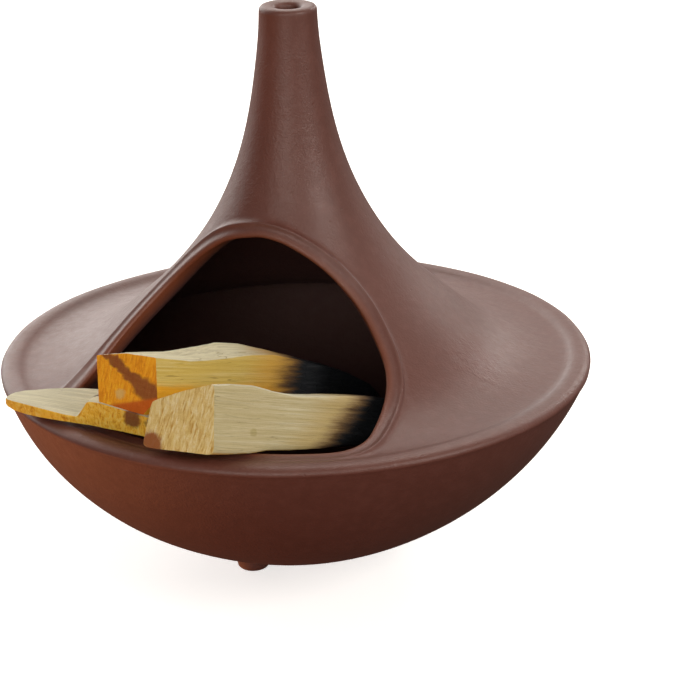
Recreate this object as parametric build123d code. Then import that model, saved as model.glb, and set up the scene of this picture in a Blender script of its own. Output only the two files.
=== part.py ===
from build123d import *
from math import cos, sin, radians, sqrt
import os

# Ceramic incense chiminea: a shallow round bowl on three nub feet, closed by a
# flared hood that draws up into a narrow chimney. The mouth faces -Y. Units are mm.

rim_radius = 75.0
height = 143.6
wall = 4.0

# bowl: two concentric spherical faces
bowl_radius = 81.0
bowl_centre_z = 83.6
seam_z = 49.5              # bowl and hood are luted together here

# hood and chimney
neck_z = 100.0             # hood and chimney are luted together here
chimney_top_radius = 7.1
flue_radius = 3.0
flue_length = 12.6

# mouth
mouth_half_width = 39.5
mouth_top_z = 90.1
sill_radius = 65.0
mouth_corner = 8.0
collar_width = 3.6
collar_rise = 1.8          # the collar stands this far out from the hood, sideways
collar_foot_z = 56.2       # the collar fades into the shoulder here

# feet
foot_radius = 4.2
foot_circle = 19.0
foot_turn = -16.0
foot_round = 1.4

# sticks: heading and slope of the two long ones
stick_yaw = 29.0
front_pitch = 18.5
back_pitch = 16.0


# ---------------------------------------------------------------- ceramic body

def on_sphere(radius, z):
    """Distance from the axis to a sphere about the bowl centre, at height z."""
    return sqrt(radius ** 2 - (bowl_centre_z - z) ** 2)


def spun(edges):
    return revolve(make_face(edges), Axis.Z)


hood_points = [
    (75.0, 53.1), (73.2, 54.7), (69.0, 53.6), (60.0, 54.6), (52.5, 57.4), (42.0, 65.3),
    (31.7, 74.9), (22.1, 87.0), (14.7, 101.6), (10.5, 116.0), (8.1, 130.5),
    (chimney_top_radius, height - 1.0),
]


def outer_solid(out=0.0):
    """Solid inside the outer faces, with the hood moved sideways by `out`."""
    bottom_z = bowl_centre_z - bowl_radius
    mid = (on_sphere(bowl_radius, 22.0), 22.0)
    moved = [(r + out, z) for r, z in hood_points]
    start = (on_sphere(bowl_radius, hood_points[0][1]), hood_points[0][1])
    skin = Spline(*moved)
    under = ThreePointArc((0, bottom_z), mid, start)
    end = moved[-1]
    edge = ThreePointArc(end, (end[0] - 0.293, height - 0.293), (end[0] - 1.0, height))
    lines = [under, skin, edge, Line((end[0] - 1.0, height), (0, height)), Line((0, height), (0, bottom_z))]
    if abs(moved[0][0] - start[0]) > 1e-4:
        lines.append(Line(start, moved[0]))
    return spun([Plane.XZ * line for line in lines])


def inner_solid():
    """Firebox, throat and flue as one solid."""
    radius = bowl_radius - wall
    floor_z = bowl_centre_z - radius
    top = (on_sphere(radius, seam_z), seam_z)
    bore_z = height - flue_length
    roof = Spline(top, (60.0, 50.9), (50.5, 53.9), (39.3, 62.3), (28.8, 72.1), (18.7, 84.8),
                  (11.2, 100.2), (6.9, 115.3), (flue_radius, bore_z))
    lines = [
        ThreePointArc((0, floor_z), (on_sphere(radius, 24.0), 24.0), top),
        roof,
        Line((flue_radius, bore_z), (flue_radius, height + 2)),
        Line((flue_radius, height + 2), (0, height + 2)),
        Line((0, height + 2), (0, floor_z)),
    ]
    return spun([Plane.XZ * line for line in lines])


def mouth_cutter(grow=0.0):
    """The mouth seen from the front, trimmed in plan by the sill and its corners."""
    w = mouth_half_width + grow
    top = mouth_top_z + grow
    d = 0.72 * grow
    side = [(38.1 + grow, 58.4 + 0.3 * grow), (34.2 + d, 64.9 + d), (25.0 + d, 75.2 + d),
            (15.5 + 0.6 * grow, 83.8 + 0.8 * grow)]
    arch = Spline((-w, 54.5), *[(-x, z) for x, z in side], (0, top), *reversed(side), (w, 54.5))
    front = make_face([Plane.XZ * e for e in (
        arch, Line((w, 54.5), (w, 40)), Line((-w, 54.5), (-w, 40)), Line((w, 40), (-w, 40)),
    )])
    front_prism = extrude(front, amount=90, dir=(0, -1, 0))
    sill = sill_radius + grow
    y = -sqrt(sill ** 2 - w ** 2)
    plan = make_face([
        Line((w, 0), (w, y)), Line((-w, 0), (-w, y)), Line((w, 0), (-w, 0)),
        ThreePointArc((-w, y), (0, -sill), (w, y)),
    ])
    plan = fillet(plan.vertices().group_by(Axis.Y)[0], mouth_corner + grow)
    return front_prism & (Pos(0, 0, 40) * extrude(plan, amount=70))


def slab(low, high):
    return Pos(0, 0, (low + high) / 2) * Box(200, 200, high - low)


outer = outer_solid()
inner = inner_solid()
bowl = (outer & slab(-5, seam_z)) - inner
hood = (outer & slab(seam_z, neck_z)) - inner - mouth_cutter()
chimney = (outer & slab(neck_z, height + 1)) - inner

band = mouth_cutter(collar_width) - mouth_cutter()
mouth_collar = ((outer_solid(collar_rise) - outer) & band) & slab(collar_foot_z, neck_z)


# ----------------------------------------------------------------------- feet

def foot(angle):
    """Rounded nub whose top follows the underside of the bowl."""
    post = Cylinder(foot_radius, 12, align=(Align.CENTER, Align.CENTER, Align.MIN))
    post = fillet(post.edges().group_by(Axis.Z)[0], foot_round)
    x, y = foot_circle * sin(radians(angle)), -foot_circle * cos(radians(angle))
    return (Pos(x, y, 0) * post) - (Pos(0, 0, bowl_centre_z) * Sphere(bowl_radius))


foot_front = foot(foot_turn)
foot_rear_right = foot(foot_turn + 120)
foot_rear_left = foot(foot_turn - 120)


# --------------------------------------------------------------------- sticks

yaw = radians(stick_yaw)
across = Vector(cos(yaw), -sin(yaw), 0)


def outward(pitch):
    p = radians(pitch)
    return Vector(-sin(yaw) * cos(p), -cos(yaw) * cos(p), sin(p))


def stick(corner, pitch, near, far, length):
    """Split stick from the sawn end, which faces -Y, to the burnt end in the firebox."""
    out = outward(pitch)
    corner = Vector(*corner)
    grow = 14.0                # the section is carried on past the sawn end, then cut

    def section(points, at):
        plane = Plane(origin=corner + out * at, x_dir=across, z_dir=out)
        return plane * make_face(Polyline(*points, close=True))

    over = grow / length
    start = [(x + (x - u) * over, y + (y - v) * over) for (x, y), (u, v) in zip(near, far)]
    body = loft([section(far, -length), section(start, grow)], ruled=True)
    sawn = Vector(0.998, -0.06, 0).cross(out.cross(across))
    return split(body, bisect_by=Plane(origin=corner, z_dir=sawn), keep=Keep.BOTTOM)


# section outlines run (across, up) from the lower left corner of the sawn end
stick_front = stick(
    (-6.8, -73.5, 56.0), front_pitch,
    near=[(0, 0), (17.0, 3.7), (13.3, 19.9), (6.8, 16.0), (-0.1, 11.2)],
    far=[(1.5, 8.6), (13.5, 9.2), (12.6, 17.6), (7.0, 15.6), (1.0, 12.0)], length=90)
stick_back = stick(
    (-22.5, -64.4, 61.0), back_pitch,
    near=[(0, 0), (11.2, 0.8), (14.0, 5.5), (11.6, 15.2), (4.5, 13.9), (-2.8, 11.3)],
    far=[(2.5, 2.0), (9.5, 2.2), (11.5, 4.5), (9.8, 9.6), (5.0, 9.2), (1.5, 7.5)], length=74)

# flat sliver lying along the sill, thin at its left tip
sliver_outline = [(-10.6, -65.7), (-25.4, -64.8), (-36.0, -62.8), (-50.8, -56.4),
                  (-51.2, -52.6), (-32.0, -49.5), (-21.0, -54.5), (-11.0, -60.5)]
sliver = extrude(make_face(Polyline(*[(x, y, 55.6) for x, y in sliver_outline], close=True)), amount=6)
under_back = Plane(origin=(-22.5, -64.4, 60.7), z_dir=outward(back_pitch).cross(across))
left_slope = Plane(origin=(-25.4, -64.8, 60.2), z_dir=(-0.13, -0.03, 1))
stick_left = split(sliver, bisect_by=under_back, keep=Keep.BOTTOM)
stick_left = split(stick_left, bisect_by=left_slope, keep=Keep.BOTTOM)

nodes = {
    "bowl": bowl, "hood": hood, "chimney": chimney, "mouth_collar": mouth_collar,
    "foot_front": foot_front, "foot_rear_left": foot_rear_left, "foot_rear_right": foot_rear_right,
    "stick_front": stick_front, "stick_back": stick_back, "stick_left": stick_left,
}
os.makedirs("parts", exist_ok=True)
for name, shape in nodes.items():
    export_step(shape, f"parts/{name}.step")
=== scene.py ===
import bpy
import numpy as np
from mathutils import Matrix, Vector


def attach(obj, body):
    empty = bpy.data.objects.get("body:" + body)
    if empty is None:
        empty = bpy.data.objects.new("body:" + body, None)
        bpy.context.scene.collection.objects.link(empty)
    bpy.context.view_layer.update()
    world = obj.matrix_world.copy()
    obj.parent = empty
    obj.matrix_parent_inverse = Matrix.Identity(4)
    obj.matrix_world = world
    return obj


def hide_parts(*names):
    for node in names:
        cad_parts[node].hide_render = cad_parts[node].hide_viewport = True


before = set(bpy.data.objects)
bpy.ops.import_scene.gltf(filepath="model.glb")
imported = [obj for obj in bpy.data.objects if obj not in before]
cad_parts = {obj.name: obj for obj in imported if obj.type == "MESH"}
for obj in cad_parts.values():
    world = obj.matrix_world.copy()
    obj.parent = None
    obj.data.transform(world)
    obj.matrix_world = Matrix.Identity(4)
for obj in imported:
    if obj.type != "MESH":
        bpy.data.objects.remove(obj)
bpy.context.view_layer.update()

# Incense chiminea. Shapes are worked out in millimetres in the part's own frame and
# scaled to metres when a mesh is made.
MM = 0.001


# ------------------------------------------------------------------ small maths

def spline(points, count):
    """Smooth curve through the points (natural cubic on chord length)."""
    p = np.array(points, float)
    t = np.concatenate([[0], np.cumsum(np.linalg.norm(np.diff(p, axis=0), axis=1))])
    n, h = len(p), np.diff(t)
    a = np.eye(n)
    rhs = np.zeros_like(p)
    for i in range(1, n - 1):
        a[i, i - 1 : i + 2] = h[i - 1], 2 * (h[i - 1] + h[i]), h[i]
        rhs[i] = 6 * ((p[i + 1] - p[i]) / h[i] - (p[i] - p[i - 1]) / h[i - 1])
    m = np.linalg.solve(a, rhs)
    u = np.linspace(0, t[-1], count)
    k = np.clip(np.searchsorted(t, u, side="right") - 1, 0, n - 2)
    lo, hi, w = (t[k + 1] - u)[:, None], (u - t[k])[:, None], h[k][:, None]
    return (m[k] * lo ** 3 + m[k + 1] * hi ** 3) / (6 * w) + (p[k] / w - m[k] * w / 6) * lo \
        + (p[k + 1] / w - m[k + 1] * w / 6) * hi


def lengths(p):
    return np.concatenate([[0], np.cumsum(np.linalg.norm(np.diff(p, axis=0), axis=1))])


def resample(p, step):
    """The same polyline with points a step apart."""
    s = lengths(p)
    u = np.linspace(0, s[-1], max(2, int(round(s[-1] / step)) + 1))
    return np.stack([np.interp(u, s, p[:, i]) for i in range(p.shape[1])], 1)


def arc(centre, radius, start, end, count):
    a = np.radians(np.linspace(start, end, count))
    return np.stack([centre[0] + radius * np.cos(a), centre[1] + radius * np.sin(a)], 1)


def smoothstep(lo, hi, x):
    t = np.clip((x - lo) / (hi - lo), 0, 1)
    return t * t * (3 - 2 * t)


def ring_smooth(p, sigma):
    """Gaussian smoothing of a closed row of points."""
    k = np.arange(-3 * sigma, 3 * sigma + 1)
    w = np.exp(-0.5 * (k / sigma) ** 2)
    return sum(wi * np.roll(p, -int(ki), axis=0) for ki, wi in zip(k, w / w.sum()))


class Noise:
    """Gradient noise in three dimensions, repeatable from its seed."""

    def __init__(self, seed):
        rng = np.random.RandomState(seed)
        self.order = np.tile(rng.permutation(256), 2)
        g = rng.normal(size=(256, 3))
        self.grad = g / np.linalg.norm(g, axis=1)[:, None]

    def __call__(self, p):
        base = np.floor(p).astype(int)
        f = p - base
        w = f * f * f * (f * (f * 6 - 15) + 10)
        total = 0.0
        for corner in np.ndindex(2, 2, 2):
            c = (base + corner) & 255
            h = self.order[self.order[self.order[c[:, 0]] + c[:, 1]] + c[:, 2]]
            dot = np.einsum("ij,ij->i", self.grad[h], f - corner)
            share = np.prod(np.where(np.array(corner) == 1, w, 1 - w), axis=1)
            total = total + share * dot
        return total


# ------------------------------------------------------------------ making meshes

def grid_faces(rows, columns, wrap):
    """Quads of a grid of rows x columns; the columns may close on themselves."""
    r = np.arange(rows - 1)[:, None]
    c = np.arange(columns if wrap else columns - 1)[None, :]
    d = (c + 1) % columns
    near, far = r * columns, (r + 1) * columns
    return np.stack([near + c, near + d, far + d, far + c], -1).reshape(-1, 4)


def make_piece(name, points, quads, material, tris=None, normals=None, values=None, crease=None):
    """Mesh object from points in mm. `values` are named numbers, or triples, per point."""
    mesh = bpy.data.meshes.new(name)
    sides = [list(map(int, side)) for group in (quads, () if tris is None else tris) for side in group]
    mesh.from_pydata((points * MM).tolist(), [], sides)
    mesh.polygons.foreach_set("use_smooth", np.ones(len(mesh.polygons), bool))
    for key, data in (values or {}).items():
        kind, field = ("FLOAT", "value") if data.ndim == 1 else ("FLOAT_VECTOR", "vector")
        layer = mesh.attributes.new(key, kind, "POINT")
        layer.data.foreach_set(field, np.asarray(data, np.float32).ravel())
    if crease:
        mesh.set_sharp_from_angle(angle=np.radians(crease))
    mesh.update()
    if normals is not None:
        mesh.normals_split_custom_set_from_vertices(normals.tolist())
    mesh.materials.append(material)
    obj = bpy.data.objects.new(name, mesh)
    bpy.context.scene.collection.objects.link(obj)
    return obj


# --------------------------------------------------------------- ceramic profiles

BOWL_R, BOWL_Z, WALL = 81.0, 83.6, 4.0
BOWL_TOP, INNER_TOP = 51.4, 47.6                 # the spherical skins end here, and the lip begins
SEAM_Z, NECK_Z = 49.5, 100.0
AROUND = 360


def sphere_r(radius, z):
    return np.sqrt(radius ** 2 - (BOWL_Z - z) ** 2)


def sphere_arc(radius, z):
    """Profile of the bowl from the axis up to height z."""
    end = np.degrees(np.arctan2(z - BOWL_Z, sphere_r(radius, z)))
    return arc((0, BOWL_Z), radius, -90 + 0.02, end, 400)


# (distance from the axis, height) up the outside: rim and shoulder, then the flared hood
LIP = [(75.0, 52.6), (74.8, 53.25), (74.2, 53.78), (73.2, 54.14), (72.0, 54.26), (70.9, 54.22),
       (70.0, 54.00), (69.2, 53.68), (67.8, 53.50), (64.4, 53.80)]
CONE = [(60.0, 54.66), (52.5, 57.4), (42.0, 65.3), (31.7, 74.9), (22.1, 87.0), (14.7, 101.6),
        (10.5, 116.0), (8.1, 130.5), (7.25, 139.0), (7.1, 142.4)]
THROAT = [(64.5, 50.15), (60.0, 50.9), (50.5, 53.9), (39.3, 62.3), (28.8, 72.1), (18.7, 84.8),
          (11.2, 100.2), (6.9, 115.3), (3.0, 131.0)]
outer = np.concatenate([
    sphere_arc(BOWL_R, BOWL_TOP)[:-1],
    spline([(sphere_r(BOWL_R, BOWL_TOP), BOWL_TOP), *LIP, *CONE], 1500)[:-1],
    spline([(7.1, 142.4), (6.95, 143.05), (6.4, 143.5), (5.6, 143.6)], 60)[:-1],
    spline([(5.6, 143.6), (4.4, 143.5), (3.55, 143.25), (3.1, 142.7), (3.0, 141.9)], 80)[:-1],
    np.array([(3.0, 141.9), (3.0, 131.0)]),
])
inner = np.concatenate([
    sphere_arc(BOWL_R - WALL, INNER_TOP)[:-1],
    spline([(sphere_r(BOWL_R - WALL, INNER_TOP), INNER_TOP), (68.75, 49.0), (68.5, 49.75), (67.4, 50.0),
            (64.5, 50.15)], 60)[:-1],
    spline(THROAT, 900),
])


def profile_normals(p, side):
    t = np.gradient(p, axis=0)
    t /= np.linalg.norm(t, axis=1)[:, None]
    return np.stack([t[:, 1], -t[:, 0]], 1) * side


def cut_profile(p, low_z, high_z):
    """Part of a profile between two heights, walking from its start."""
    keep = np.where(p[:, 1] >= low_z - 1e-6)[0][0] if low_z is not None else 0
    q = p[keep:]
    if low_z is not None:
        q = np.concatenate([crossing(p, low_z), q])
    if high_z is not None:
        stop = np.where(q[:, 1] > high_z)[0][0]
        q = np.concatenate([q[:stop], crossing(p, high_z)])
    return q


def crossing(p, z):
    k = np.where((p[:-1, 1] <= z) & (p[1:, 1] > z))[0][0]
    f = (z - p[k, 1]) / (p[k + 1, 1] - p[k, 1])
    return (p[k] + f * (p[k + 1] - p[k]))[None, :]


# Slow hand-made unevenness, the same for every ceramic point, so the pieces still meet.
WAVES = [(0.060, (0.085, 0.031, 0.052), 0.4), (0.050, (-0.047, 0.102, 0.060), 1.9),
         (0.035, (0.130, 0.071, -0.110), 3.3), (0.020, (0.210, -0.260, 0.170), 5.1)]
# the bowl is fuller low on its left: away from this way, by this much, up to this height
FULL_SIDE, FULLER, FULL_TOP = (0.921, 0.389), 1.7, 52


def uneven(p, n):
    """Moves points along their normals by the slow waves and tips the normals to match."""
    rise, slope = np.zeros(len(p)), np.zeros_like(p)
    for amount, k, phase in WAVES:
        a = p @ np.array(k) + phase
        rise += amount * np.sin(a)
        slope += amount * np.cos(a)[:, None] * np.array(k)
    r = np.hypot(p[:, 0], p[:, 1])
    fade = smoothstep(3, 12, r)
    rise, slope = rise * fade, slope * fade[:, None]
    m = n - (slope - np.einsum("ij,ij->i", slope, n)[:, None] * n)
    left = 0.5 - 0.5 * (p[:, 0] * FULL_SIDE[0] + p[:, 1] * FULL_SIDE[1]) / np.maximum(r, 1)
    rise = rise + FULLER * left ** 1.5 * np.sin(np.pi * np.clip(p[:, 2] / FULL_TOP, 0, 1)) * fade
    return p + n * rise[:, None], m / np.linalg.norm(m, axis=1)[:, None]


def spun(profile, side, step):
    """Grid of points and normals from turning a profile about the axis."""
    fine = resample(profile, 0.05)
    nrm = profile_normals(fine, side)
    s = lengths(fine)
    u = np.linspace(0, s[-1], max(3, int(round(s[-1] / step)) + 1))
    q = np.stack([np.interp(u, s, fine[:, i]) for i in (0, 1)], 1)
    m = np.stack([np.interp(u, s, nrm[:, i]) for i in (0, 1)], 1)
    m /= np.linalg.norm(m, axis=1)[:, None]
    phi = np.arange(AROUND) * 2 * np.pi / AROUND
    x, y = np.sin(phi), -np.cos(phi)
    p = np.stack([q[:, :1] * x, q[:, :1] * y, np.repeat(q[:, 1:], AROUND, 1)], -1).reshape(-1, 3)
    n = np.stack([m[:, :1] * x, m[:, :1] * y, np.repeat(m[:, 1:], AROUND, 1)], -1).reshape(-1, 3)
    return p, n, len(q)


def shell(name, skins, material, holes=None):
    """One ceramic piece from several spun skins; `holes` says which points are cut away."""
    points, normals, quads, soot, at = [], [], [], [], 0
    for i, (profile, side, step, flip, dark) in enumerate(skins):
        p, n, rows = spun(profile, side, step)
        q = grid_faces(rows, AROUND, True)
        if holes is not None and holes[i] is not None:
            gone = holes[i](p)
            q = q[~gone[q].any(1)]
        p, n = uneven(p, n)
        points.append(p)
        normals.append(n)
        quads.append((q[:, ::-1] if flip else q) + at)
        soot.append(np.full(len(p), float(dark)))
        at += len(p)
    points, normals = np.concatenate(points), np.concatenate(normals)
    quads, soot = np.concatenate(quads), np.concatenate(soot)
    used = np.unique(quads)
    index = np.full(len(points), -1)
    index[used] = np.arange(len(used))
    return make_piece(name, points[used], index[quads], material, normals=normals[used],
                      values={"soot": soot[used]})


# ---------------------------------------------------------------------- mouth

SILL_R, HALF_W, CORNER = 65.0, 38.6, 12.0
FLARE = 2.0
# (distance from the middle, height) down each side of the opening
MOUTH_RIGHT = [(0, 90.6), (5.2, 89.7), (8.8, 88.2), (14.2, 85.0), (20.4, 79.9), (25.6, 74.8),
               (29.9, 70.0), (33.7, 65.5), (37.3, 59.4), (38.6, 54.6)]
MOUTH_LEFT = [(0, 90.6), (8.6, 88.7), (16.2, 84.2), (25.4, 75.8), (34.0, 65.2), (37.3, 59.4),
              (38.6, 54.6)]
# the stretch of the outside that the mouth lies in, from just inside the rim to above the arch
RIM_INSIDE, ABOVE_ARCH = 73.4, 118.0
hood_line = cut_profile(outer, BOWL_TOP, None)
hood_line = hood_line[np.argmax(hood_line[:, 0]):]
hood_line = hood_line[np.argmax(hood_line[:, 0] < RIM_INSIDE):]
hood_line = hood_line[: np.argmax(hood_line[:, 1] > ABOVE_ARCH)]
hood_line = resample(hood_line, 0.1)
hood_len = lengths(hood_line)
hood_nrm = profile_normals(hood_line, 1)


def hood_at(phi, s):
    """Point and outward normal of the hood at an angle from -Y and a length along the profile."""
    r, z = np.interp(s, hood_len, hood_line[:, 0]), np.interp(s, hood_len, hood_line[:, 1])
    nr, nz = np.interp(s, hood_len, hood_nrm[:, 0]), np.interp(s, hood_len, hood_nrm[:, 1])
    x, y = np.sin(phi), -np.cos(phi)
    return np.stack([r * x, r * y, z], -1), np.stack([nr * x, nr * y, nz], -1)


def mouth_line(count):
    """Edge of the mouth as (angle, length along the profile), a loop starting at the top."""
    rising = hood_line[hood_line[:, 0] < 60.5]
    halves = []
    for corners in MOUTH_RIGHT, MOUTH_LEFT:
        side = spline(corners, 300)
        r_of_z = np.interp(side[:, 1], rising[:, 1], rising[:, 0])
        on_cone = np.stack([side[:, 0], -np.sqrt(r_of_z ** 2 - side[:, 0] ** 2)], 1)
        cx = HALF_W - CORNER
        cy = -np.sqrt((SILL_R - CORNER) ** 2 - cx ** 2)
        lean = np.degrees(np.arctan2(cy, cx))
        bend = arc((cx, cy), CORNER, 0, lean, 40)
        front = arc((0, 0), SILL_R, lean, -90, 120)
        halves.append(np.concatenate([on_cone, bend, front[1:]]))
    plan = np.concatenate([halves[0], (halves[1] * (-1, 1))[::-1][1:-1]])
    r, phi = np.hypot(*plan.T), np.arctan2(plan[:, 0], -plan[:, 1])
    s = np.interp(-r, -hood_line[:, 0], hood_len)
    loop = np.stack([phi, s], 1)
    closed = np.concatenate([loop, loop[:1]])
    at = lengths(hood_at(closed[:, 0], closed[:, 1])[0])
    u = np.linspace(0, at[-1], count, endpoint=False)
    even = np.stack([np.interp(u, at, closed[:, i]) for i in (0, 1)], 1)
    return ring_smooth(even, count / 180)


EDGE = 560
edge = mouth_line(EDGE)
edge_p, edge_n = hood_at(edge[:, 0], edge[:, 1])
along = np.roll(edge_p, -1, 0) - np.roll(edge_p, 1, 0)
along /= np.linalg.norm(along, axis=1)[:, None]
away = np.cross(along, edge_n)
if (away[0] @ (0, 0, 1)) < 0:
    away = -away
east = np.stack([np.cos(edge[:, 0]), np.sin(edge[:, 0]), np.zeros(EDGE)], 1)
uphill = np.cross(edge_n, east)
if uphill[0, 2] < 0:
    uphill = -uphill
edge_r = np.hypot(edge_p[:, 0], edge_p[:, 1])


def beside_mouth(distance):
    """(angle, length) of the line that runs at a distance outside the mouth's edge."""
    phi = edge[:, 0] + np.einsum("ij,ij->i", away, east) * distance / edge_r
    s = edge[:, 1] + np.einsum("ij,ij->i", away, uphill) * distance
    return phi, s


def wall_depth():
    """Wall thickness under each point of the mouth's edge, straight in from the hood."""
    fine = resample(inner, 0.1)
    rz = np.stack([edge_r, edge_p[:, 2]], 1)
    d = np.stack([np.hypot(edge_n[:, 0], edge_n[:, 1]), edge_n[:, 2]], 1)
    out = []
    for a, b in zip(rz, d):
        v = fine - a
        off = np.abs(v[:, 0] * b[1] - v[:, 1] * b[0])
        depth = -(v @ b)
        off[(depth < 1) | (depth > 9)] = 99
        out.append(depth[np.argmin(off)])
    return ring_smooth(np.array(out)[:, None], 3)[:, 0]


depth = wall_depth()
# how much of the collar's height is left: it fades out along the sill
lift = 1 - 0.72 * smoothstep(-44, -57, edge_p[:, 1])


def inside_loop(px, py, lx, ly):
    """Which points lie inside a closed outline."""
    inside = np.zeros(len(px), bool)
    for x0, y0, x1, y1 in zip(lx, ly, np.roll(lx, -1), np.roll(ly, -1)):
        cross = (y0 > py) != (y1 > py)
        if cross.any():
            xi = x0 + (py[cross] - y0) * (x1 - x0) / (y1 - y0)
            inside[cross] ^= px[cross] < xi
    return inside


UNDER_COLLAR = 2.4                               # the hood's outer skin stops this far from the opening
INSIDE_GAP = 0.35                                # and its inner skin this far outside the flared cut
FRONT_HALF, NECK_BELOW, SEAM_ABOVE = 1.4, 99, 49.9   # the mouth lies within: radians, mm, mm


def outer_hole(p):
    """Points of the hood's outer skin that the mouth takes away."""
    lx, ly = beside_mouth(UNDER_COLLAR)
    r, phi = np.hypot(p[:, 0], p[:, 1]), np.arctan2(p[:, 0], -p[:, 1])
    s = np.interp(-r, -hood_line[:, 0], hood_len)
    near = (np.abs(phi) < FRONT_HALF) & (r < hood_line[0, 0]) & (p[:, 2] < NECK_BELOW)
    gone = np.zeros(len(p), bool)
    gone[near] = inside_loop(phi[near], s[near], lx, ly)
    return gone


def inner_hole(p):
    """Points of the hood's inner skin that the mouth takes away."""
    phi0, s0 = beside_mouth(FLARE + INSIDE_GAP)
    q, n = hood_at(phi0, s0)
    q = q - n * depth[:, None]
    lr, lphi = np.hypot(q[:, 0], q[:, 1]), np.arctan2(q[:, 0], -q[:, 1])
    r, phi = np.hypot(p[:, 0], p[:, 1]), np.arctan2(p[:, 0], -p[:, 1])
    near = (np.abs(phi) < FRONT_HALF) & (p[:, 2] < NECK_BELOW) & (p[:, 2] > SEAM_ABOVE)
    gone = np.zeros(len(p), bool)
    gone[near] = inside_loop(phi[near], r[near], lphi, lr)
    return gone


# (distance outside the opening, height above the hood): outer crest, dip, inner lip, edge
COLLAR_FACE = [(6.4, -0.03), (5.7, 0.0), (5.1, 0.05), (4.6, 0.20), (4.2, 0.50), (3.9, 0.86), (3.6, 1.04),
               (3.25, 0.97), (2.8, 0.73), (2.35, 0.57), (1.85, 0.54), (1.35, 0.58), (0.9, 0.57),
               (0.45, 0.40), (0.12, 0.05), (0.02, -0.45)]


def collar(name, material):
    """Raised band round the mouth, with the cut edge of the wall and a flange behind it."""
    face = spline(COLLAR_FACE, 60)
    rows = []
    for d, h in face:
        phi, s = beside_mouth(d)
        p, n = hood_at(phi, s)
        rows.append(p + n * (h * (lift if h > 0 else np.ones(EDGE)))[:, None])
    # the cut through the wall leans back, so the opening widens inwards
    for f in np.linspace(0.16, 0.86, 9):
        phi, s = beside_mouth(FLARE * f ** 1.3)
        p, n = hood_at(phi, s)
        rows.append(p - n * (depth * f)[:, None])
    for d, back in [(0.08, 0.93), (0.25, 0.97), (0.55, 0.995), (1.1, 1.0), (1.8, 1.0), (2.5, 1.0)]:
        phi, s = beside_mouth(FLARE + d)
        p, n = hood_at(phi, s)
        rows.append(p - n * (depth * back + (0.06 if d > 1 else 0))[:, None])
    p = np.concatenate(rows)
    dark = np.repeat([min(1.0, max(0.0, (i - len(face)) / 8)) for i in range(len(rows))], EDGE)
    quads = grid_faces(len(rows), EDGE, True)
    a, b = p[quads[:, 1]] - p[quads[:, 0]], p[quads[:, 3]] - p[quads[:, 0]]
    n = np.cross(a, b)
    acc = np.zeros_like(p)
    for k in range(4):
        np.add.at(acc, quads[:, k], n)
    acc /= np.linalg.norm(acc, axis=1)[:, None] + 1e-12
    # the face of the band looks outward: turn the skin over if it came out inside out
    if np.einsum("ij,ij->i", acc[EDGE * 20 : EDGE * 21], edge_n).mean() < 0:
        acc, quads = -acc, quads[:, ::-1]
    # where the band runs out into the hood it takes the hood's own normals
    for i in range(6):
        phi, s = beside_mouth(face[i, 0])
        own = hood_at(phi, s)[1]
        w = 1 - i / 6
        row = slice(i * EDGE, (i + 1) * EDGE)
        acc[row] = acc[row] * (1 - w) + own * w
    acc /= np.linalg.norm(acc, axis=1)[:, None]
    p, acc = uneven(p, acc)
    # painted warm bounce light: the rounded inner edge of the band is tinted orange
    bare = np.repeat(np.interp(np.arange(len(rows)), [40, 50, 60, 66, 70], [0, 0.55, 1, 1, 0]), EDGE)
    return make_piece(name, p, quads, material, normals=acc, values={"soot": dark, "bare": bare})


# ----------------------------------------------------------------------- feet

FOOT_R, FOOT_AT, FOOT_SIDE = 4.2, 19.0, 2.6      # the fillet starts at height FOOT_SIDE
FILLET, SUNK = 1.3, 0.12                         # fillet width, and its top inside the bowl's skin
FOOT_LINE = [(0.02, 0.0), (2.4, 0.0), (3.3, 0.18), (3.95, 0.75), (4.15, 1.6), (FOOT_R, FOOT_SIDE)]


def foot(name, angle, material):
    """Nub pressed on to the underside, with a small soft fillet where it joins."""
    a = np.radians(angle)
    centre = np.array([FOOT_AT * np.sin(a), -FOOT_AT * np.cos(a)])
    around = 72
    t = np.arange(around) * 2 * np.pi / around
    rows = [np.stack([centre[0] + r * np.cos(t), centre[1] + r * np.sin(t), np.full(around, z)], 1)
            for r, z in spline(FOOT_LINE, 26)]
    for k in np.linspace(0.25, 1, 8):
        r = FOOT_R + FILLET * (1 - np.cos(k * np.pi / 2))
        x, y = centre[0] + r * np.cos(t), centre[1] + r * np.sin(t)
        under = BOWL_Z - np.sqrt(BOWL_R ** 2 - x ** 2 - y ** 2)
        z = FOOT_SIDE + (under + SUNK - FOOT_SIDE) * np.sin(k * np.pi / 2)
        rows.append(np.stack([x, y, z], 1))
    p = np.concatenate(rows)
    quads = grid_faces(len(rows), around, True)
    return make_piece(name, p, quads[:, ::-1], material, values={"soot": np.zeros(len(p))})


# --------------------------------------------------------------------- sticks

def fibres(noise, p, fine, coarse):
    """Split-wood relief: lines along z, waves across."""
    a = noise(p * (0.55, 0.55, 0.018) + 11.3)
    b = noise(p * (1.5, 1.5, 0.035) + 3.7)
    c = noise(p * (3.6, 3.6, 0.07) + 8.1)
    wide = noise(p * (0.12, 0.12, 0.045) + 21.0)
    return coarse * wide + fine * (0.9 * a + 0.55 * b + 0.3 * c)


def section_ring(section, each):
    """Outline of a section with `each` points a side."""
    s = np.array(section, float)
    out = [s[i] + (s[(i + 1) % len(s)] - s[i]) * k / each for i in range(len(s)) for k in range(each)]
    return np.array(out)


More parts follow.
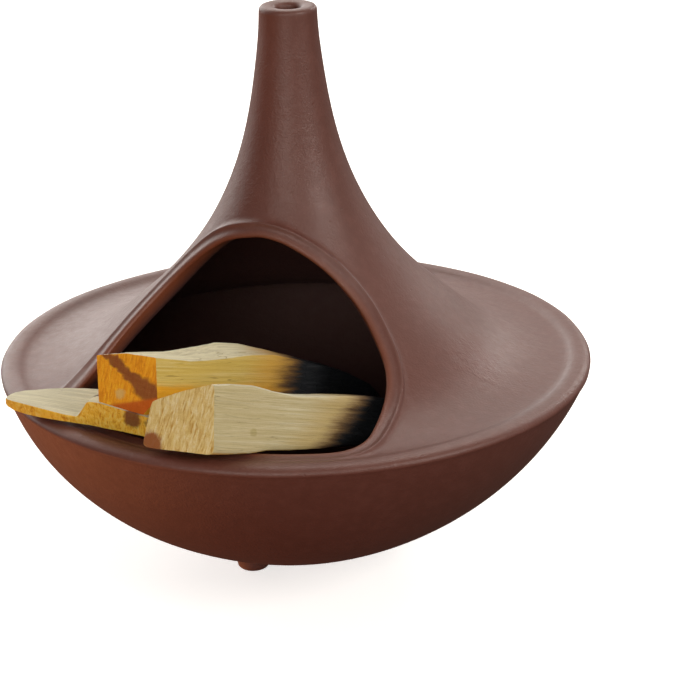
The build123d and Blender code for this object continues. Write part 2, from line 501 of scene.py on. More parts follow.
def stick(name, stations, frame_axes, origin, start_cut, material, seed, fine=0.30, coarse=0.7,
          each=26, step=0.55, burnt=None, round_off=2.0, cap_rough=0.28):
    """Lofted stick in its own frame: x across, y up, z out of the sawn end.

    `stations` are (z, section) pairs from the sawn end inwards.
    `start_cut` gives the slope of the sawn end, z = ax + by.
    """
    noise = Noise(seed)
    zs = np.array([z for z, _ in stations])
    rings = np.array([section_ring(s, each) for _, s in stations])
    length = zs[0] - zs[-1]
    rows = int(length / step) + 1
    t = np.linspace(0, 1, rows)
    z = zs[0] - length * t
    ring = np.stack([[np.interp(-z, -zs, rings[:, i, k]) for k in (0, 1)]
                     for i in range(rings.shape[1])], 1)
    ring = np.transpose(ring, (2, 1, 0))                       # rows, around, xy
    around = ring.shape[1]
    ring = np.stack([ring_smooth(r, round_off) for r in ring])
    slope = (ring @ np.array(start_cut))                        # sawn end
    zz = z[:, None] + slope * (1 - t[:, None]) ** 2
    if burnt:
        ragged = noise(np.concatenate([ring[-1] * 0.35, np.full((around, 1), 4.0)], 1))
        zz = zz + (t[:, None] ** 6) * (ragged * burnt)[None, :]
    p = np.concatenate([ring, zz[..., None]], -1)
    tangent = np.roll(p, -1, 1) - np.roll(p, 1, 1)
    out = np.stack([tangent[..., 1], -tangent[..., 0], np.zeros_like(tangent[..., 0])], -1)
    out /= np.linalg.norm(out, axis=-1)[..., None] + 1e-9
    flat = p.reshape(-1, 3)
    edge_fade = np.repeat(smoothstep(0, 1.2, t * length), around)
    rise = fibres(noise, flat, fine, coarse) * (0.35 + 0.65 * edge_fade)
    flat = flat + out.reshape(-1, 3) * (rise - 0.5 * coarse * 0.3)[:, None]
    quads = grid_faces(rows, around, True)
    points, faces, tris, at = [flat], [quads], [], len(flat)
    # both ends: shrinking rings with a rough face
    for end, row in ((0, 0), (1, rows - 1)):
        base = flat.reshape(rows, around, 3)[row]
        mid = base.mean(0)
        steps = 16
        caps = []
        for k in range(1, steps):
            f = 1 - k / steps
            q = mid + (base - mid) * f
            rough = noise(q * (0.35, 0.9, 0.4) + 5.0) + 0.6 * noise(q * (1.6, 0.5, 1.0) + 9.0)
            q[:, 2] += (cap_rough if end == 0 else 0.9) * rough * (1 - f) ** 0.4
            if end == 1:
                q[:, 2] -= 1.6 * (1 - f ** 2)
            caps.append(q)
        cap = np.concatenate(caps)
        g = grid_faces(steps - 1, around, True) + at
        ring_ids = np.arange(around) + row * around
        cap_ids = np.arange(around) + at
        first = np.stack([ring_ids, np.roll(ring_ids, -1), np.roll(cap_ids, -1), cap_ids], -1)
        faces += [g, first] if end == 0 else [g[:, ::-1], first[:, ::-1]]
        points.append(cap)
        at += len(cap)
        points.append(caps[-1].mean(0)[None, :])
        last = np.arange(around) + at - around
        tri = np.stack([last, np.roll(last, -1), np.full(around, at)], -1)
        tris.append(tri if end == 0 else tri[:, ::-1])
        at += 1
    points, faces, tris = np.concatenate(points), np.concatenate(faces), np.concatenate(tris)
    x, y = ring[0].T
    if np.sum(x * np.roll(y, -1) - y * np.roll(x, -1)) > 0:     # the section runs anticlockwise
        faces, tris = faces[:, ::-1], tris[:, ::-1]
    placed = np.array(origin) + points @ np.array(frame_axes)
    return make_piece(name, placed, faces, material, tris=tris, values={"own_place": points}, crease=38)


def stick_axes(yaw, pitch):
    y, p = np.radians(yaw), np.radians(pitch)
    out = np.array([-np.sin(y) * np.cos(p), -np.cos(y) * np.cos(p), np.sin(p)])
    across = np.array([np.cos(y), -np.sin(y), 0])
    return across, np.cross(out, across), out


def sawn_slope(axes, direction):
    """Slope of a sawn end that holds `direction` and the stick's own up: z = ax + by."""
    across, up, out = axes
    n = np.cross(np.array(direction), up)
    return -(across @ n) / (out @ n), -(up @ n) / (out @ n)


# ------------------------------------------------------------------- materials

class Nodes:
    """Short hand for building a node tree: a new material's, or a given one."""

    def __init__(self, name, tree=None):
        if tree is None:
            self.material = bpy.data.materials.new(name)
            self.material.use_nodes = True
            tree = self.material.node_tree
            tree.nodes.clear()
        self.tree = tree

    def add(self, kind, **inputs):
        """New node. _name sets a property, i0, i1 ... a numbered input and Name a named one."""
        node = self.tree.nodes.new(kind)
        for key, value in inputs.items():
            if key.startswith("_"):
                setattr(node, key[1:], value)
                continue
            numbered = key[0] == "i" and key[1:].isdigit()
            self.feed(node.inputs[int(key[1:]) if numbered else key.replace("_", " ")], value)
        return node

    def feed(self, socket, value):
        if isinstance(value, bpy.types.NodeSocket):
            self.tree.links.new(value, socket)
        else:
            socket.default_value = value

    def math(self, operation, a, b=0.0):
        return self.add("ShaderNodeMath", _operation=operation, i0=a, i1=b).outputs[0]

    def vector(self, operation, a, b):
        node = self.add("ShaderNodeVectorMath", _operation=operation, i0=a, i1=b)
        return node.outputs["Value" if operation in ("DOT_PRODUCT", "DISTANCE") else "Vector"]

    def less(self, a, b):
        return self.math("SUBTRACT", a, b)

    def times(self, a, b):
        return self.math("MULTIPLY", a, b)

    def plus(self, a, b):
        return self.math("ADD", a, b)

    def fade(self, value, lo, hi):
        """1 below lo, 0 above hi, smooth between."""
        return self.less(1.0, self.span(value, lo, hi))

    def wander(self, vector, scale, detail, rough, reach):
        """Noise that swings about zero, from -reach / 2 to reach / 2."""
        return self.times(self.less(self.noise(vector, scale, detail, rough), 0.5), reach)

    def mix(self, factor, a, b):
        node = self.tree.nodes.new("ShaderNodeMix")
        node.data_type = "RGBA"
        for at, value in ((0, factor), (6, a), (7, b)):
            if isinstance(value, tuple) and len(value) == 3:
                value = (*value, 1)
            self.feed(node.inputs[at], value)
        return node.outputs[2]

    def ramp(self, factor, stops):
        node = self.add("ShaderNodeValToRGB", Fac=factor)
        while len(node.color_ramp.elements) < len(stops):
            node.color_ramp.elements.new(0.5)
        for element, (at, colour) in zip(node.color_ramp.elements, stops):
            element.position = at
            element.color = colour if len(colour) == 4 else (*colour, 1)
        return node.outputs[0]

    def noise(self, vector, scale, detail=3.0, rough=0.5, distortion=0.0):
        return self.add("ShaderNodeTexNoise", Vector=vector, Scale=scale, Detail=detail,
                        Roughness=rough, Distortion=distortion).outputs[0]

    def place(self, vector, scale):
        return self.add("ShaderNodeMapping", Vector=vector, Scale=scale).outputs[0]

    def span(self, value, lo, hi):
        """0 below lo, 1 above hi, smooth between."""
        return self.add("ShaderNodeMapRange", _interpolation_type="SMOOTHSTEP",
                        i0=value, i1=lo, i2=hi, i3=0.0, i4=1.0).outputs[0]


def finish_surface(n, colour, rough, height, bump_strength, **constants):
    """Shader and output; the constants go straight on to the shader's own sockets."""
    bump = n.add("ShaderNodeBump", Height=height, Distance=MM, Strength=bump_strength).outputs[0]
    shader = n.add("ShaderNodeBsdfPrincipled", Base_Color=colour, Roughness=rough, Normal=bump)
    for socket, value in constants.items():
        shader.inputs[socket.replace("_", " ")].default_value = value
    n.add("ShaderNodeOutputMaterial", Surface=shader.outputs[0])
    return n.material


def ceramic_material():
    """Matt chocolate stoneware: fine orange-peel, sparse pits, soot inside the firebox."""
    n = Nodes("ceramic")
    mm = n.place(n.add("ShaderNodeTexCoord").outputs["Object"], (1 / MM, 1 / MM, 1 / MM))
    cloud = n.noise(mm, 0.045, 4, 0.6)
    base = n.ramp(cloud, [(0.30, (0.108, 0.034, 0.0235)), (0.70, (0.124, 0.040, 0.028))])
    base = n.mix(n.span(n.noise(mm, 0.35, 5, 0.62), 0.42, 0.70), base, (0.130, 0.044, 0.032))
    dark_specks = n.times(n.span(n.noise(mm, 3.2, 3, 0.6), 0.60, 0.72), 0.35)
    base = n.mix(dark_specks, base, (0.070, 0.020, 0.014))
    pale_specks = n.times(n.span(n.noise(mm, 2.1, 2, 0.5), 0.66, 0.74), 0.22)
    base = n.mix(pale_specks, base, (0.21, 0.095, 0.070))
    # painted warm bounce light: orange tint on the collar's rounded inner edge
    bare = n.add("ShaderNodeAttribute", _attribute_name="bare").outputs["Fac"]
    base = n.mix(n.times(bare, 0.80), base, (0.21, 0.054, 0.019))
    soot = n.add("ShaderNodeAttribute", _attribute_name="soot").outputs["Fac"]
    base = n.mix(n.times(soot, 0.85), base, (0.033, 0.0065, 0.0050))
    rough = n.plus(0.40, n.times(n.noise(mm, 0.5, 4, 0.6), 0.20))
    rough = n.plus(rough, n.times(soot, 0.25))
    # relief in mm: orange-peel, grain, pits, and patches of wrinkled glaze
    peel, grain = n.noise(mm, 1.7, 2, 0.55), n.noise(mm, 4.2, 2, 0.6)
    height = n.plus(n.times(peel, 0.085), n.times(grain, 0.020))
    pits = n.add("ShaderNodeTexVoronoi", Vector=mm, Scale=0.16).outputs["Distance"]
    height = n.plus(height, n.times(n.span(pits, 0.035, 0.060), 0.10))
    crinkle = n.times(n.noise(mm, 0.75, 2, 0.5, 1.2), n.span(cloud, 0.46, 0.58))
    height = n.plus(height, n.times(crinkle, 0.14))
    return finish_surface(n, base, rough, height, 0.75, IOR=1.5, Specular_IOR_Level=0.62)


def dimmer(colour, by):
    return tuple(c * by for c in colour)


def split_face(n, mm, y, facing_up, lines, hair, side, low):
    """Colour of the split faces: fibres, a paler top as painted light, a darker warm underside as
    painted shade, and fine cracks.
    """
    # the fourth and fifth side colours are painted light and shade: a paler top, a darker warm underside
    dark_side, body_side, pale_side, lit_top_paint, shaded_under_paint = side
    patch = n.noise(n.place(mm, (1.0, 1.0, 0.30)), 0.17, 4, 0.6)
    body = n.ramp(lines, [(0.28, dark_side), (0.47, body_side), (0.66, pale_side)])
    body = n.mix(n.times(n.span(patch, 0.38, 0.66), 0.55), body, body_side)
    # painted shade: the sides below the given height take the underside's colour
    if low:
        height, soft = low
        uneven_y = n.plus(y, n.times(n.less(patch, 0.5), 7.0))
        body = n.mix(n.fade(uneven_y, height - soft, height + soft), body, shaded_under_paint)
    # painted light on faces turned up, painted shade on faces turned down
    top = n.mix(n.span(lines, 0.40, 0.62), dimmer(lit_top_paint, 0.80), lit_top_paint)
    body = n.mix(n.times(n.span(facing_up, 0.45, 0.80), 0.9), body, top)
    body = n.mix(n.span(n.times(facing_up, -1.0), 0.35, 0.70), body, shaded_under_paint)
    body = n.mix(n.times(n.span(hair, 0.55, 0.72), 0.28), body, dimmer(dark_side, 0.55))
    off_crack = n.math("ABSOLUTE", n.less(n.noise(n.place(mm, (1.0, 1.0, 0.035)), 0.62, 2, 0.5), 0.5))
    crack = n.times(n.fade(off_crack, 0.002, 0.012), n.span(patch, 0.46, 0.60))
    return n.mix(n.times(crack, 0.55), body, dimmer(dark_side, 0.45))


def streak_mark(n, mm, x, y, start, stop, thin, thick):
    """How much a dark streak covers: a wandering band from start to stop that widens on its way."""
    (sx, sy), (ex, ey) = start, stop
    long = ((ex - sx) ** 2 + (ey - sy) ** 2) ** 0.5
    ux, uy = (ex - sx) / long, (ey - sy) / long
    dx, dy = n.less(x, sx), n.less(y, sy)
    off = n.plus(n.times(dx, -uy), n.times(dy, ux))
    far = n.plus(n.times(dx, ux), n.times(dy, uy))
    wide = n.plus(thin, n.times(n.span(far, long * 0.35, long), thick - thin))
    off = n.plus(off, n.wander(mm, 0.45, 3, 0.5, 2.6))
    mark = n.fade(n.math("DIVIDE", n.math("ABSOLUTE", off), wide), 0.55, 1.10)
    return n.times(mark, n.fade(far, long, long + 1.5))


def sawn_face(n, mm, x, y, ray, speck, end, streak, base):
    """Colour of the end grain: wavy upright fibres, spongy between them."""
    dark_end, body_end, pale_end = end
    blot = n.noise(n.place(mm, (1.0, 0.6, 0.5)), 0.42, 3, 0.5)
    grain = n.ramp(ray, [(0.36, dark_end), (0.49, body_end), (0.62, pale_end)])
    grain = n.mix(n.times(n.span(blot, 0.50, 0.66), 0.65), grain, body_end)
    grain = n.mix(n.times(n.span(speck, 0.55, 0.70), 0.40), grain, pale_end)
    if streak:
        *shape, tint = streak
        grain = n.mix(n.times(streak_mark(n, mm, x, y, *shape), 0.9), grain, tint)
    if base:
        rise, slope, tint = base
        line = n.plus(rise, n.times(x, slope))
        grain = n.mix(n.span(n.less(line, y), -0.5, 0.6), grain, tint)
    return grain


def burn(n, mm, y, z, colour, height, rough, depth, rise, gold):
    """Golden, then brown, then blue-black, in streaks along the fibres, past `depth` mm in."""
    drift = n.wander(n.place(mm, (1, 1, 0.10)), 0.9, 5, 0.65, 11.0)
    depth_in = n.less(n.less(drift, z), n.times(y, rise))
    toasted = n.span(depth_in, depth - 17, depth - 4)
    brown = n.span(depth_in, depth - 6, depth + 1.5)
    black = n.span(depth_in, depth - 2, depth + 5)
    colour = n.mix(n.times(toasted, 0.70), colour, gold)
    colour = n.mix(n.times(brown, 0.9), colour, (0.13, 0.062, 0.022))
    ash = n.span(n.noise(n.place(mm, (1, 1, 0.08)), 1.8, 5, 0.7), 0.50, 0.80)
    colour = n.mix(black, colour, n.mix(ash, (0.0045, 0.0065, 0.0095), (0.030, 0.034, 0.040)))
    cells = n.add("ShaderNodeTexVoronoi", _feature="DISTANCE_TO_EDGE",
                  Vector=n.place(mm, (1, 1, 0.30)), Scale=0.75).outputs["Distance"]
    height = n.plus(height, n.times(n.times(n.span(cells, 0.0, 0.12), black), 0.12))
    return colour, height, n.less(rough, n.times(black, 0.12))


def wood_material(name, seed, axes, side, end, char=None, gold=(0.60, 0.32, 0.045), streak=None,
                  base=None, round_marks=(), end_axis=2, low=None):
    """Split palo santo: fibres along z, end grain on one face, burnt towards -z.

    axes: the stick's own x, y and z in the frame; end_axis says which one the end grain faces.
    side: colours (dark fibre, body, pale) of the split faces, then the paler colour of the top (painted
    light) and the darker colour of the underside (painted shade).
    end: colours (dark, body, pale) of the end grain.
    char: (depth, rise per mm of height), with gold as the colour of the toasted wood before it.
    low: (y below which the side turns to the underside's painted-shade colour, how softly).
    streak: (start, stop, thin, thick, colour) across the end grain, in x and y.
    base: (height, slope, colour) of the end grain's lower corner.
    round_marks: (middle, size, colour, strength) of round spots, paler or darker than the wood.
    """
    n = Nodes(name)
    normal = n.add("ShaderNodeTexCoord").outputs["Normal"]
    place = n.add("ShaderNodeAttribute", _attribute_name="own_place").outputs["Vector"]
    mm = n.vector("ADD", place, (seed * 7.3, seed * 3.1, seed * 5.7))
    x, y, z = n.add("ShaderNodeSeparateXYZ", Vector=place).outputs[0:3]
    facing = [n.vector("DOT_PRODUCT", normal, tuple(map(float, v))) for v in axes]
    lines = n.noise(n.place(mm, (1.0, 1.0, 0.022)), 1.5, 6, 0.66)
    hair = n.noise(n.place(mm, (1.0, 1.0, 0.05)), 5.0, 4, 0.6)
    ray_stretch = (2.1, 0.30, 0.4) if end_axis == 2 else (0.4, 0.8, 1.5)
    ray = n.noise(n.place(mm, ray_stretch), 0.75, 5, 0.62, 0.9)
    speck = n.noise(mm, 2.0, 4, 0.7)
    ends = n.span(facing[end_axis], 0.55, 0.80)
    colour = n.mix(ends, split_face(n, mm, y, facing[1], lines, hair, side, low),
                   sawn_face(n, mm, x, y, ray, speck, end, streak, base))
    for middle, size, tint, strength in round_marks:
        apart = n.plus(n.vector("DISTANCE", place, middle), n.wander(mm, 0.6, 4, 0.6, size * 0.7))
        colour = n.mix(n.times(n.fade(apart, size * 0.55, size), strength), colour, tint)
    height = n.mix(ends, n.plus(n.times(lines, 0.34), n.times(hair, 0.18)),
                   n.plus(n.times(ray, 0.45), n.times(speck, 0.25)))
    rough = n.plus(0.66, n.times(lines, 0.22))
    if char:
        colour, height, rough = burn(n, mm, y, z, colour, height, rough, *char, gold)
    return finish_surface(n, colour, rough, height, 0.8, Specular_IOR_Level=0.32)


# ----------------------------------------------------------- ceramic, assembled

ceramic = ceramic_material()
HOOD_STEP = 0.95


def two_skins(low_z, high_z, outer_step, inner_step):
    """Outer and sooty inner skin between two heights, for shell()."""
    return [(cut_profile(outer, low_z, high_z), 1, outer_step, False, 0),
            (cut_profile(inner, low_z, high_z), -1, inner_step, True, 1)]


bowl = shell("bowl_ceramic", two_skins(None, SEAM_Z, 1.4, 1.6), ceramic)
hood = shell("hood_ceramic", two_skins(SEAM_Z, NECK_Z, HOOD_STEP, HOOD_STEP), ceramic,
             holes=[outer_hole, inner_hole])
chimney = shell("chimney_ceramic", two_skins(NECK_Z, None, 0.6, 1.2), ceramic)
band = collar("collar_ceramic", ceramic)
FOOT_TURN = -16.0
feet = [foot("foot_front_ceramic", FOOT_TURN, ceramic),
        foot("foot_rear_right_ceramic", FOOT_TURN + 120, ceramic),
        foot("foot_rear_left_ceramic", FOOT_TURN - 120, ceramic)]
CERAMIC_NODES = ["bowl", "hood", "chimney", "mouth_collar", "foot_front", "foot_rear_right",
                 "foot_rear_left"]
for piece, node in zip([bowl, hood, chimney, band, *feet], CERAMIC_NODES):
    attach(piece, "chiminea")
    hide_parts(node)


# ------------------------------------------------------------ sticks, assembled

front_axes, back_axes = stick_axes(29.0, 18.5), stick_axes(29.0, 16.0)
# the sliver lies along x, so its own z is -x of the frame
left_axes = (np.array([0.0, -1.0, 0.0]), np.array([0.0, 0.0, 1.0]), np.array([-1.0, 0.0, 0.0]))
# (z, section) from the sawn end inwards; each section runs round from the lower left corner
front_stations = [
    (0.0, [(0.2, 0.2), (17.0, 3.7), (13.3, 19.8), (6.8, 16.0), (0.0, 11.2)]),
    (-6.0, [(0.3, 0.8), (17.0, 3.8), (13.5, 20.2), (7.4, 17.3), (0.1, 11.5)]),
    (-13.0, [(0.4, 1.5), (17.0, 4.3), (13.7, 20.2), (8.0, 18.2), (0.2, 11.7)]),
    (-20.0, [(0.5, 2.2), (16.8, 5.1), (13.8, 19.3), (8.0, 17.8), (0.2, 11.7)]),
    (-28.0, [(0.6, 3.1), (16.6, 5.4), (13.8, 18.7), (7.9, 17.5), (0.3, 11.8)]),
    (-40.0, [(0.9, 4.3), (16.2, 6.4), (13.8, 19.1), (7.8, 17.9), (0.5, 12.0)]),
    (-55.0, [(1.1, 5.9), (15.4, 7.8), (13.8, 19.6), (7.6, 18.0), (0.7, 12.3)]),
    (-72.0, [(1.4, 7.6), (14.4, 9.0), (13.6, 18.9), (7.3, 17.0), (0.9, 12.3)]),
    (-82.0, [(1.6, 8.4), (13.8, 9.4), (13.0, 17.8), (7.0, 16.0), (1.1, 12.2)]),
    (-89.0, [(2.6, 9.4), (12.6, 10.2), (11.9, 16.2), (7.0, 14.9), (2.1, 12.4)]),
]
back_stations = [
    (0.0, [(0.2, 0.2), (11.2, 0.8), (13.9, 5.5), (11.6, 14.9), (4.5, 13.7), (-2.6, 11.2)]),
    (-6.0, [(0.4, 0.4), (11.1, 0.9), (13.7, 5.5), (11.5, 14.6), (4.6, 14.2), (-2.5, 11.4)]),
    (-12.0, [(0.6, 0.5), (10.9, 1.0), (13.5, 5.4), (11.3, 14.2), (5.0, 14.7), (-2.4, 11.7)]),
    (-18.0, [(0.8, 0.7), (10.8, 1.1), (13.3, 5.3), (11.2, 14.5), (5.5, 15.9), (-2.1, 12.5)]),
    (-25.0, [(1.0, 0.8), (10.6, 1.2), (13.1, 5.2), (11.2, 15.2), (6.0, 17.4), (-1.6, 13.6)]),
    (-32.0, [(1.2, 1.0), (10.5, 1.3), (12.9, 5.1), (11.1, 16.0), (6.2, 17.3), (-1.2, 13.6)]),
    (-39.0, [(1.4, 1.1), (10.3, 1.4), (12.6, 5.0), (11.0, 16.3), (6.2, 16.4), (-0.8, 13.0)]),
    (-48.0, [(1.7, 1.4), (10.1, 1.6), (12.4, 4.9), (10.9, 15.3), (6.1, 15.2), (-0.4, 12.2)]),
    (-58.0, [(2.0, 1.6), (9.9, 1.8), (12.0, 4.7), (10.6, 13.6), (5.9, 13.4), (0.3, 10.9)]),
    (-67.0, [(2.3, 1.8), (9.7, 2.0), (11.7, 4.6), (10.3, 11.6), (5.7, 11.4), (0.9, 9.4)]),
    (-75.0, [(2.6, 2.0), (9.5, 2.2), (11.3, 4.4), (9.9, 9.0), (5.4, 8.8), (1.5, 7.4)]),
    (-79.0, [(3.5, 2.6), (8.8, 2.8), (10.2, 4.0), (9.1, 6.6), (5.6, 6.8), (2.6, 5.6)]),
]


# the last two side colours of each stick are painted light and shade: a paler top, a darker warm
# underside
front_wood = wood_material(
    "wood_front", 1.0, front_axes,
    side=((0.41, 0.34, 0.15), (0.54, 0.47, 0.26), (0.66, 0.61, 0.41),
          (0.70, 0.67, 0.51), (0.62, 0.43, 0.14)),
    end=((0.53, 0.31, 0.060), (0.73, 0.58, 0.22), (0.82, 0.73, 0.41)),
    low=(3.6, 1.5), char=(35.0, 0.85), gold=(0.50, 0.36, 0.13),
    round_marks=[((2.2, 2.0, -1.0), 3.3, (0.28, 0.085, 0.022), 0.95),
           ((16.0, 13.0, -6.4), 1.6, (0.30, 0.24, 0.045), 0.7),
           ((15.6, 9.5, -18.5), 1.3, (0.36, 0.29, 0.10), 0.5)])
back_wood = wood_material(
    "wood_back", 2.0, back_axes,
    side=((0.46, 0.31, 0.050), (0.57, 0.42, 0.100), (0.66, 0.54, 0.23),
          (0.70, 0.67, 0.49), (0.70, 0.34, 0.014)),
    end=((0.68, 0.25, 0.006), (0.84, 0.36, 0.009), (0.88, 0.46, 0.022)),
    low=(9.0, 1.6), base=(-0.6, 0.46, (0.56, 0.12, 0.006)), char=(43.0, 0.25),
    streak=((-2.0, 13.2), (13.4, 5.2), 1.4, 3.2, (0.22, 0.060, 0.018)),
    round_marks=[((5.2, 3.9, -1.5), 1.9, (0.70, 0.50, 0.17), 0.75)])
left_wood = wood_material(
    "wood_left", 3.0, left_axes, end_axis=0,
    side=((0.45, 0.38, 0.22), (0.58, 0.52, 0.34), (0.66, 0.61, 0.43),
          (0.66, 0.62, 0.44), (0.58, 0.28, 0.03)),
    end=((0.66, 0.28, 0.020), (0.90, 0.55, 0.048), (0.92, 0.66, 0.13)),
    round_marks=[((65.8, 59.0, 13.0), 3.0, (0.17, 0.045, 0.018), 0.9),
           ((64.5, 58.5, 8.6), 2.2, (0.20, 0.08, 0.02), 0.8),
           ((55.0, 58.3, 27.6), 1.5, (0.06, 0.028, 0.012), 0.95)])
SAW_WAY = (0.998, -0.06, 0)                      # level line in the sawn ends of the long sticks
front = stick("stick_front_wood", front_stations, front_axes, (-6.8, -73.5, 56.0),
              sawn_slope(front_axes, SAW_WAY), front_wood, 5, fine=0.24, coarse=0.6, burnt=2.0)
back = stick("stick_back_wood", back_stations, back_axes, (-22.5, -64.4, 61.0),
             sawn_slope(back_axes, SAW_WAY), back_wood, 8, fine=0.26, coarse=0.6, burnt=2.5,
             round_off=1.2)


def sliver_section(front_y, front_top, mid_y, mid_top, back_y, back_top, bottom=55.05):
    """Section of the sliver: front edge, ridge and back edge, seen from its left tip."""
    f, m, b = -front_y, -mid_y, -back_y
    return [(f, bottom), (f, front_top), (m, mid_top), (b, back_top), (b, bottom + 0.5)]


left_stations = [
    (49.5, sliver_section(-61.2, 57.2, -59.8, 57.4, -58.4, 57.3, 55.7)),
    (48.6, sliver_section(-61.9, 57.4, -59.2, 57.6, -57.2, 57.5, 55.4)),
    (46.6, sliver_section(-62.8, 57.6, -58.8, 57.7, -55.8, 57.6, 55.2)),
    (42.0, sliver_section(-63.9, 57.7, -58.6, 58.0, -54.2, 58.1)),
    (38.0, sliver_section(-64.4, 57.5, -58.8, 58.1, -52.8, 58.3)),
    (33.0, sliver_section(-64.6, 57.1, -59.0, 58.1, -51.6, 58.5)),
    (28.6, sliver_section(-64.6, 56.9, -59.2, 58.1, -51.0, 58.6)),
    (28.0, sliver_section(-64.6, 57.2, -59.8, 58.2, -51.0, 58.6)),
    (25.4, sliver_section(-64.7, 61.0, -61.6, 61.2, -52.6, 58.4)),
    (24.8, sliver_section(-64.7, 61.4, -61.7, 61.5, -53.0, 58.3)),
    (22.0, sliver_section(-64.9, 61.5, -61.8, 61.5, -53.8, 58.0)),
    (17.0, sliver_section(-65.3, 61.0, -61.8, 60.9, -56.0, 57.9)),
    (9.0, sliver_section(-65.9, 60.2, -62.6, 60.0, -60.0, 58.2)),
]
left = stick("stick_left_wood", left_stations, left_axes, (0, 0, 0), (0.0, 0.0), left_wood, 13,
             fine=0.16, coarse=0.15, each=22, step=0.4, round_off=1.2)
for piece, node, body in ((front, "stick_front", "front_stick"), (back, "stick_back", "back_stick"),
                          (left, "stick_left", "left_stick")):
    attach(piece, body)
    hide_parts(node)


# ------------------------------------------------------- floor, light and camera

FLOOR_RADII = (0.05, 0.4, 1.5, 6.0, 30.0)       # metres
DOME_RADIUS = 7.5
SPOKES, HOOPS = 64, 24


def floor():
    """Wide flat floor, pale and a little luminous so that it stays clean."""
    n = Nodes("floor")
    where = n.add("ShaderNodeTexCoord").outputs["Object"]
    patchy = n.noise(where, 6.0, 3, 0.5)
    tone = n.ramp(patchy, [(0.3, (0.86, 0.86, 0.85)), (0.7, (0.89, 0.89, 0.88))])
    shader = n.add("ShaderNodeBsdfPrincipled", Base_Color=tone)
    shader.inputs["Roughness"].default_value = 0.9
    shader.inputs["Specular IOR Level"].default_value = 0.1
    shader.inputs["Emission Color"].default_value = (1, 0.995, 0.985, 1)
    shader.inputs["Emission Strength"].default_value = 0.65
    n.add("ShaderNodeOutputMaterial", Surface=shader.outputs[0])
    turn = np.arange(SPOKES) * 2 * np.pi / SPOKES
    rows = len(FLOOR_RADII)
    p = np.stack([np.outer(FLOOR_RADII, np.cos(turn)), np.outer(FLOOR_RADII, np.sin(turn)),
                  np.zeros((rows, SPOKES))], -1).reshape(-1, 3)
    p = np.concatenate([p, np.zeros((1, 3))])
    middle = [(i, (i + 1) % SPOKES, rows * SPOKES) for i in range(SPOKES)]
    return make_piece("floor", p / MM, grid_faces(rows, SPOKES, True)[:, ::-1], n.material, tris=middle)


def backdrop():
    """Plain white dome, seen only directly: it neither lights nor shades the object."""
    n = Nodes("backdrop")
    shader = n.add("ShaderNodeEmission", Color=(1, 0.998, 0.992, 1), Strength=1.1)
    n.add("ShaderNodeOutputMaterial", Surface=shader.outputs[0])
    turn = np.arange(SPOKES) * 2 * np.pi / SPOKES
    climb = np.radians(np.linspace(-1, 89, HOOPS))[:, None]
    p = np.stack([np.cos(climb) * np.cos(turn), np.cos(climb) * np.sin(turn),
                  np.repeat(np.sin(climb), SPOKES, 1)], -1).reshape(-1, 3)
    inward = grid_faces(HOOPS, SPOKES, True)[:, ::-1]
    return make_piece("backdrop", p * DOME_RADIUS / MM, inward, n.material)


VIEW_TURN = np.radians(22.88)                     # how far the camera stands to the right of the mouth
FORWARD = (-float(np.sin(VIEW_TURN)), float(np.cos(VIEW_TURN)), 0.0)
RIGHT = (float(np.cos(VIEW_TURN)), float(np.sin(VIEW_TURN)), 0.0)


def studio_world():
    """Pale behind, dimmer in front and overhead; dark below, with a warm glow low on the left."""
    world = bpy.data.worlds.new("studio")
    world.use_nodes = True
    n = Nodes("studio", world.node_tree)
    ground = n.tree.nodes["Background"]
    way = n.add("ShaderNodeTexCoord").outputs["Generated"]
    height = n.add("ShaderNodeSeparateXYZ", Vector=way).outputs[2]
    ahead = n.vector("DOT_PRODUCT", way, FORWARD)
    left = n.vector("DOT_PRODUCT", way, tuple(-c for c in RIGHT))
    behind = n.mix(n.span(left, -0.15, 0.30), (0.98, 0.92, 0.87), (4.4, 4.25, 4.05))
    sky = n.mix(n.span(height, 0.50, 0.80), behind, (0.24, 0.215, 0.195))
    near = n.mix(n.span(left, 0.1, 0.7), (0.40, 0.345, 0.30), (0.12, 0.10, 0.09))
    sky = n.mix(n.span(ahead, 0.10, 0.70), near, sky)
    under = n.mix(n.span(height, -0.9, -0.1), (0.055, 0.034, 0.026), (0.22, 0.17, 0.15))
    glow = n.times(n.span(left, 0.25, 0.75), n.fade(height, -0.55, -0.20))
    under = n.mix(glow, under, (1.9, 0.62, 0.24))
    n.feed(ground.inputs["Color"], n.mix(n.span(height, -0.06, 0.02), under, sky))
    ground.inputs["Strength"].default_value = 0.9
    return world


LIT_POINT = Vector((0, 0, 0.06))
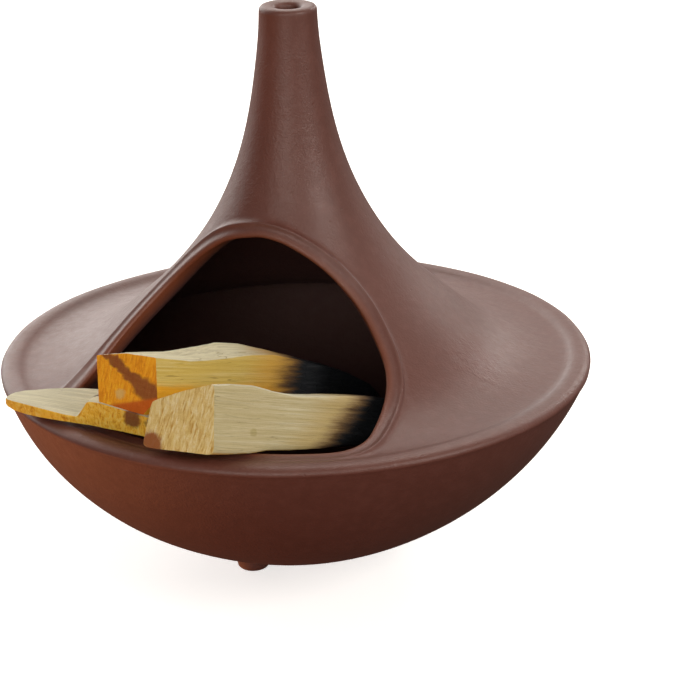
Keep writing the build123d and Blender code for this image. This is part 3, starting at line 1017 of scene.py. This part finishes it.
# name, (right, forward, up) of the object as the camera sees it in metres, size, watts, colour
LIGHTS = [
    ("key_back", (0.62, 1.00, 0.60), (0.26, 0.26), 2.6, (1.0, 0.97, 0.92)),
    ("top_back", (0.10, 0.70, 1.10), (0.55, 0.30), 4.0, (1.0, 0.93, 0.86)),
    ("fill_right", (0.88, -0.66, 0.66), (0.35, 0.5), 6.5, (1.0, 0.94, 0.88)),
    ("fill_front", (-0.25, -1.20, 0.45), (0.7, 0.5), 5.2, (1.0, 0.94, 0.87)),
]


def area_light(name, place, size, power, colour):
    data = bpy.data.lights.new(name, "AREA")
    data.shape, data.size, data.size_y = "RECTANGLE", size[0], size[1]
    data.energy, data.color = power, colour
    obj = bpy.data.objects.new(name, data)
    bpy.context.scene.collection.objects.link(obj)
    right, forward, up = place
    position = Vector(RIGHT) * right + Vector(FORWARD) * forward + Vector((0, 0, up))
    obj.location = position
    obj.rotation_euler = (LIT_POINT - position).to_track_quat("-Z", "Y").to_euler()


LENS, SENSOR = 125.33, 36.0                       # mm
CAMERA_TILT, CAMERA_ROLL = np.radians(21.26), np.radians(-0.97)
CAMERA_DISTANCE = 0.600
CAMERA_TARGET = Vector((0.01211, 0.0, 0.05805))


def photo_camera():
    data = bpy.data.cameras.new("camera")
    data.sensor_width, data.lens = SENSOR, LENS
    data.clip_start, data.clip_end = 0.05, 100
    obj = bpy.data.objects.new("camera", data)
    bpy.context.scene.collection.objects.link(obj)
    ahead = Vector(FORWARD) * np.cos(CAMERA_TILT) - Vector((0, 0, np.sin(CAMERA_TILT)))
    level = Vector(RIGHT)
    upright = level.cross(ahead)
    side_way = level * np.cos(CAMERA_ROLL) + upright * np.sin(CAMERA_ROLL)
    up_way = upright * np.cos(CAMERA_ROLL) - level * np.sin(CAMERA_ROLL)
    turned = Matrix((side_way, up_way, -ahead)).transposed().to_4x4()
    obj.matrix_world = Matrix.Translation(CAMERA_TARGET - ahead * CAMERA_DISTANCE) @ turned
    return obj


ground, dome = floor(), backdrop()
for staged in (ground, dome):
    staged.visible_diffuse = staged.visible_glossy = False
dome.visible_shadow = dome.visible_transmission = False
bpy.context.scene.world = studio_world()
for light in LIGHTS:
    area_light(*light)
bpy.context.scene.camera = photo_camera()
bpy.context.scene.view_settings.view_transform = "Standard"
